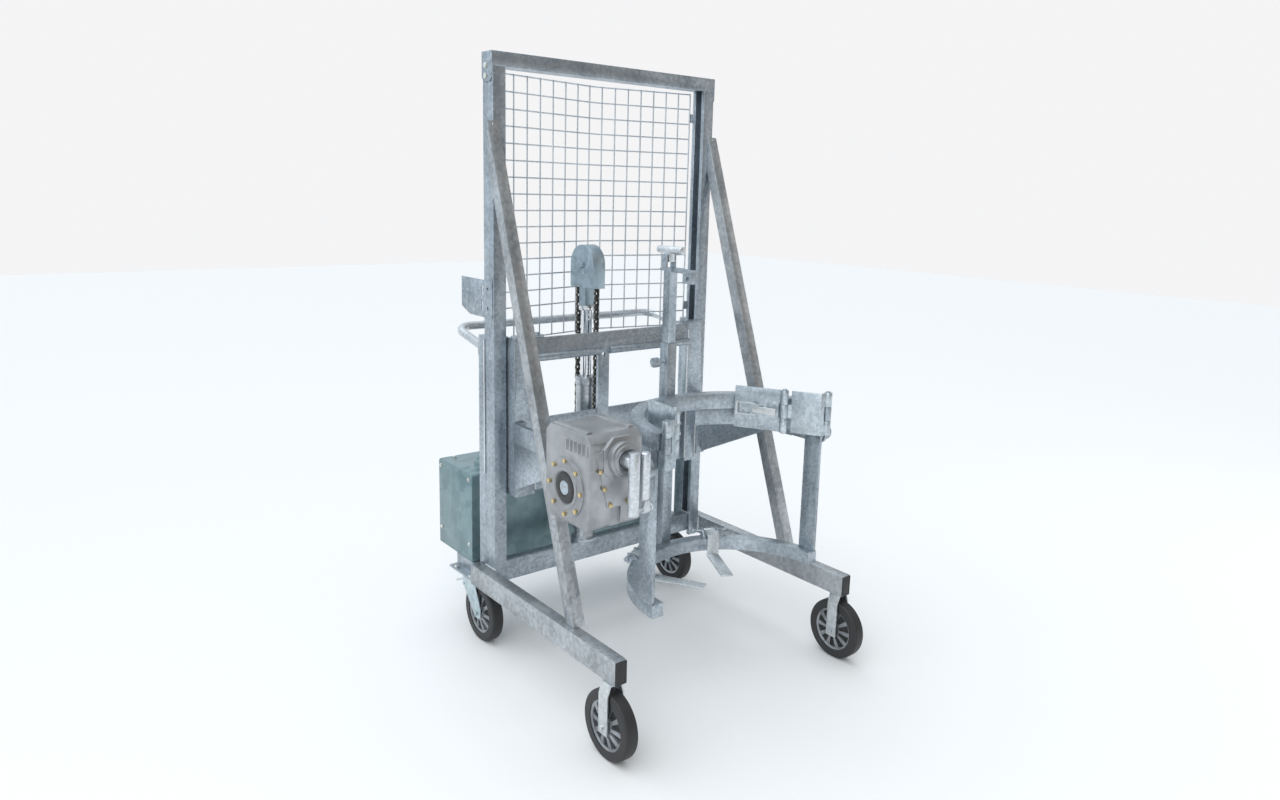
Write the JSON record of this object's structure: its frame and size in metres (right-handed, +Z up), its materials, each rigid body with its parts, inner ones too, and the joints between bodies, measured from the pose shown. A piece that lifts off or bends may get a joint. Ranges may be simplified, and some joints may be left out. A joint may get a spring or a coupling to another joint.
{
  "type": "drum tipper",
  "caption": "Galvanised wheeled mast with a chain lift whose cradle grips a steel drum and tips it forward through a hand-cranked worm gearbox.",
  "frame": {"origin": "on the floor, below the middle of the mast's front face", "axes": "+X across the mast to the right seen from the front, +Y towards the push handle, +Z up"},
  "size_m": [1.103, 1.181, 1.938],
  "materials": {
    "galvanised": "dull spangled zinc",
    "tyre": "matt",
    "chain": "oiled black",
    "chrome_rod": "polished",
    "cast_case": "silver paint on cast metal",
    "brass_screw": "bright",
    "tinted_sheet": "satin",
    "bright_zinc": "bright plated",
    "nylon": "matt",
    "grip_tube": "satin"
  },
  "bodies": {
    "mast": {"mast_left": "galvanised", "mast_right": "galvanised", "top_crossbar": "galvanised", "leg_left": "galvanised", "leg_right": "galvanised", "brace_left": "galvanised", "brace_right": "galvanised", "base_beam": "galvanised", "caster_bracket_left": "galvanised", "caster_bracket_right": "galvanised", "push_handle": "galvanised", "mesh_guard": "galvanised", "power_pack": "tinted_sheet", "control_bracket": "galvanised", "cylinder_barrel": "galvanised", "front_fork_left": "galvanised", "front_fork_right": "galvanised", "frame_bolts": "bright_zinc", "chain_rear": "chain"},
    "lift_rod": {"cylinder_rod": "chrome_rod", "sheave_housing": "galvanised", "chain_front": "chain"},
    "chain_wheel": {"sheave_wheel": "chain"},
    "carriage": {"carriage_post_left": "galvanised", "carriage_post_right": "galvanised", "carriage_top_beam": "galvanised", "carriage_plate": "galvanised", "arm_left": "galvanised", "arm_right": "galvanised", "gearbox_housing": "cast_case", "gearbox_bolts": "brass_screw"},
    "roller_ul": {"guide_roller_ul": "nylon"},
    "roller_ll": {"guide_roller_ll": "nylon"},
    "roller_ur": {"guide_roller_ur": "nylon"},
    "roller_lr": {"guide_roller_lr": "nylon"},
    "crank": {"crank_arm": "bright_zinc"},
    "grip": {"crank_grip": "grip_tube"},
    "cradle": {"ring_upper": "galvanised", "ring_lower": "galvanised", "bar_left": "galvanised", "bar_right": "galvanised", "spine_sleeve": "galvanised"},
    "finger_l": {"finger_left": "bright_zinc"},
    "finger_r": {"finger_right": "bright_zinc"},
    "hold_post": {"holddown_post": "galvanised"},
    "hold_lever": {"holddown_lever": "bright_zinc"},
    "link_l": {"jaw_link_left": "galvanised"},
    "link_r": {"jaw_link_right": "galvanised"},
    "flap_l": {"jaw_flap_left": "galvanised"},
    "plate_r": {"jaw_plate_right": "bright_zinc"},
    "toggle": {"latch_lever": "bright_zinc"},
    "hook": {"latch_hook": "bright_zinc"},
    "wheel_front_l": {"wheel_fl": "tyre"},
    "wheel_front_r": {"wheel_fr": "tyre"},
    "wheel_rear_l": {"wheel_rl": "tyre"},
    "wheel_rear_r": {"wheel_rr": "tyre"},
    "swivel_l": {"caster_fork_left": "galvanised"},
    "swivel_r": {"caster_fork_right": "galvanised"},
    "brake_l": {"pedal_left": "bright_zinc"},
    "brake_r": {"pedal_right": "bright_zinc"}
  },
  "joints": [
    {"name": "lift_ram", "type": "slide", "parent": "mast", "child": "lift_rod", "axis": [0, 0, 1], "range_m": [-0.105, 0.39], "deforming": ["chain_rear"]},
    {"name": "carriage_lift", "type": "slide", "parent": "lift_rod", "child": "carriage", "axis": [0, 0, 1], "range_m": [-0.105, 0.39], "deforming": ["chain_front"]},
    {"name": "chain_wheel_spin", "type": "hinge", "parent": "lift_rod", "child": "chain_wheel", "pos_m": [-0.07, 0.033, 1.29], "axis": [1, 0, 0], "range_deg": [-425, 116]},
    {"name": "roller_ul_spin", "type": "hinge", "parent": "carriage", "child": "roller_ul", "pos_m": [-0.429, 0.03, 1.02], "axis": [1, 0, 0], "range_deg": [-1815, 490]},
    {"name": "roller_ll_spin", "type": "hinge", "parent": "carriage", "child": "roller_ll", "pos_m": [-0.429, 0.03, 0.6], "axis": [1, 0, 0], "range_deg": [-1815, 490]},
    {"name": "roller_ur_spin", "type": "hinge", "parent": "carriage", "child": "roller_ur", "pos_m": [0.429, 0.03, 1.02], "axis": [1, 0, 0], "range_deg": [-1815, 490]},
    {"name": "roller_lr_spin", "type": "hinge", "parent": "carriage", "child": "roller_lr", "pos_m": [0.429, 0.03, 0.6], "axis": [1, 0, 0], "range_deg": [-1815, 490]},
    {"name": "cradle_tilt", "type": "hinge", "parent": "carriage", "child": "cradle", "pos_m": [0.045, -0.605, 0.775], "axis": [1, 0, 0], "range_deg": [0, 120]},
    {"name": "crank_turn", "type": "hinge", "parent": "carriage", "child": "crank", "pos_m": [-0.484, -0.766, 0.865], "axis": [0, 1, 0], "range_deg": [0, 3600]},
    {"name": "grip_fold", "type": "hinge", "parent": "crank", "child": "grip", "pos_m": [-0.448, -0.766, 0.738], "axis": [1, 0, 0], "range_deg": [0, 90]},
    {"name": "hold_down", "type": "slide", "parent": "cradle", "child": "hold_post", "axis": [0, 0, 1], "range_m": [-0.15, 0.08]},
    {"name": "hold_lever_turn", "type": "hinge", "parent": "hold_post", "child": "hold_lever", "pos_m": [0.04, -0.262, 1.33], "axis": [1, 0, 0], "range_deg": [-60, 0]},
    {"name": "jaw_left_link", "type": "hinge", "parent": "cradle", "child": "link_l", "pos_m": [-0.285, -0.655, 0.851], "axis": [0, 0, 1], "range_deg": [-105, 0]},
    {"name": "jaw_right_link", "type": "hinge", "parent": "cradle", "child": "link_r", "pos_m": [0.388, -0.655, 0.851], "axis": [0, 0, 1], "range_deg": [0, 105]},
    {"name": "jaw_left_flap", "type": "hinge", "parent": "link_l", "child": "flap_l", "pos_m": [-0.16503, -0.55218, 0.851], "axis": [0, 0, 1], "range_deg": [-80, 0]},
    {"name": "jaw_right_plate", "type": "hinge", "parent": "link_r", "child": "plate_r", "pos_m": [0.29422, -0.55513, 0.851], "axis": [0, 0, 1], "range_deg": [0, 80]},
    {"name": "toggle_turn", "type": "hinge", "parent": "plate_r", "child": "toggle", "pos_m": [0.23624, -0.47734, 0.85], "axis": [0, 0, 1], "range_deg": [-120, 0]},
    {"name": "hook_turn", "type": "hinge", "parent": "plate_r", "child": "hook", "pos_m": [0.23624, -0.47734, 0.85], "axis": [0, 0, 1], "range_deg": [0, 60]},
    {"name": "finger_l_fold", "type": "hinge", "parent": "cradle", "child": "finger_l", "pos_m": [-0.12856, -0.32689, 0.392], "axis": [-0.8746, -0.4848, 0], "range_deg": [0, 100]},
    {"name": "finger_r_fold", "type": "hinge", "parent": "cradle", "child": "finger_r", "pos_m": [0.20753, -0.32102, 0.392], "axis": [-0.891, 0.454, 0], "range_deg": [0, 100]},
    {"name": "wheel_front_l_roll", "type": "hinge", "parent": "mast", "child": "wheel_front_l", "pos_m": [-0.476, -0.68, 0.1], "axis": [1, 0, 0], "continuous": true},
    {"name": "wheel_front_r_roll", "type": "hinge", "parent": "mast", "child": "wheel_front_r", "pos_m": [0.476, -0.68, 0.1], "axis": [1, 0, 0], "continuous": true},
    {"name": "swivel_l_turn", "type": "hinge", "parent": "mast", "child": "swivel_l", "pos_m": [-0.425, 0.185, 0.2], "axis": [0, 0, 1], "continuous": true},
    {"name": "wheel_rear_l_roll", "type": "hinge", "parent": "swivel_l", "child": "wheel_rear_l", "pos_m": [-0.425, 0.12, 0.1], "axis": [1, 0, 0], "continuous": true},
    {"name": "brake_l_press", "type": "hinge", "parent": "swivel_l", "child": "brake_l", "pos_m": [-0.425, 0.211, 0.175], "axis": [1, 0, 0], "range_deg": [-20, 8]},
    {"name": "swivel_r_turn", "type": "hinge", "parent": "mast", "child": "swivel_r", "pos_m": [0.425, 0.185, 0.2], "axis": [0, 0, 1], "continuous": true},
    {"name": "wheel_rear_r_roll", "type": "hinge", "parent": "swivel_r", "child": "wheel_rear_r", "pos_m": [0.425, 0.12, 0.1], "axis": [1, 0, 0], "continuous": true},
    {"name": "brake_r_press", "type": "hinge", "parent": "swivel_r", "child": "brake_r", "pos_m": [0.425, 0.211, 0.175], "axis": [1, 0, 0], "range_deg": [-20, 8]}
  ],
  "couplings": [
    {"joint": "carriage_lift", "follows": "lift_ram", "ratio": 1},
    {"joint": "chain_wheel_spin", "follows": "lift_ram", "rad_per_m": -18.868},
    {"joint": "roller_ul_spin", "follows": "lift_ram", "rad_per_m": -80.972},
    {"joint": "roller_ll_spin", "follows": "lift_ram", "rad_per_m": -80.972},
    {"joint": "roller_ur_spin", "follows": "lift_ram", "rad_per_m": -80.972},
    {"joint": "roller_lr_spin", "follows": "lift_ram", "rad_per_m": -80.972},
    {"joint": "crank_turn", "follows": "cradle_tilt", "ratio": 30}
  ]
}
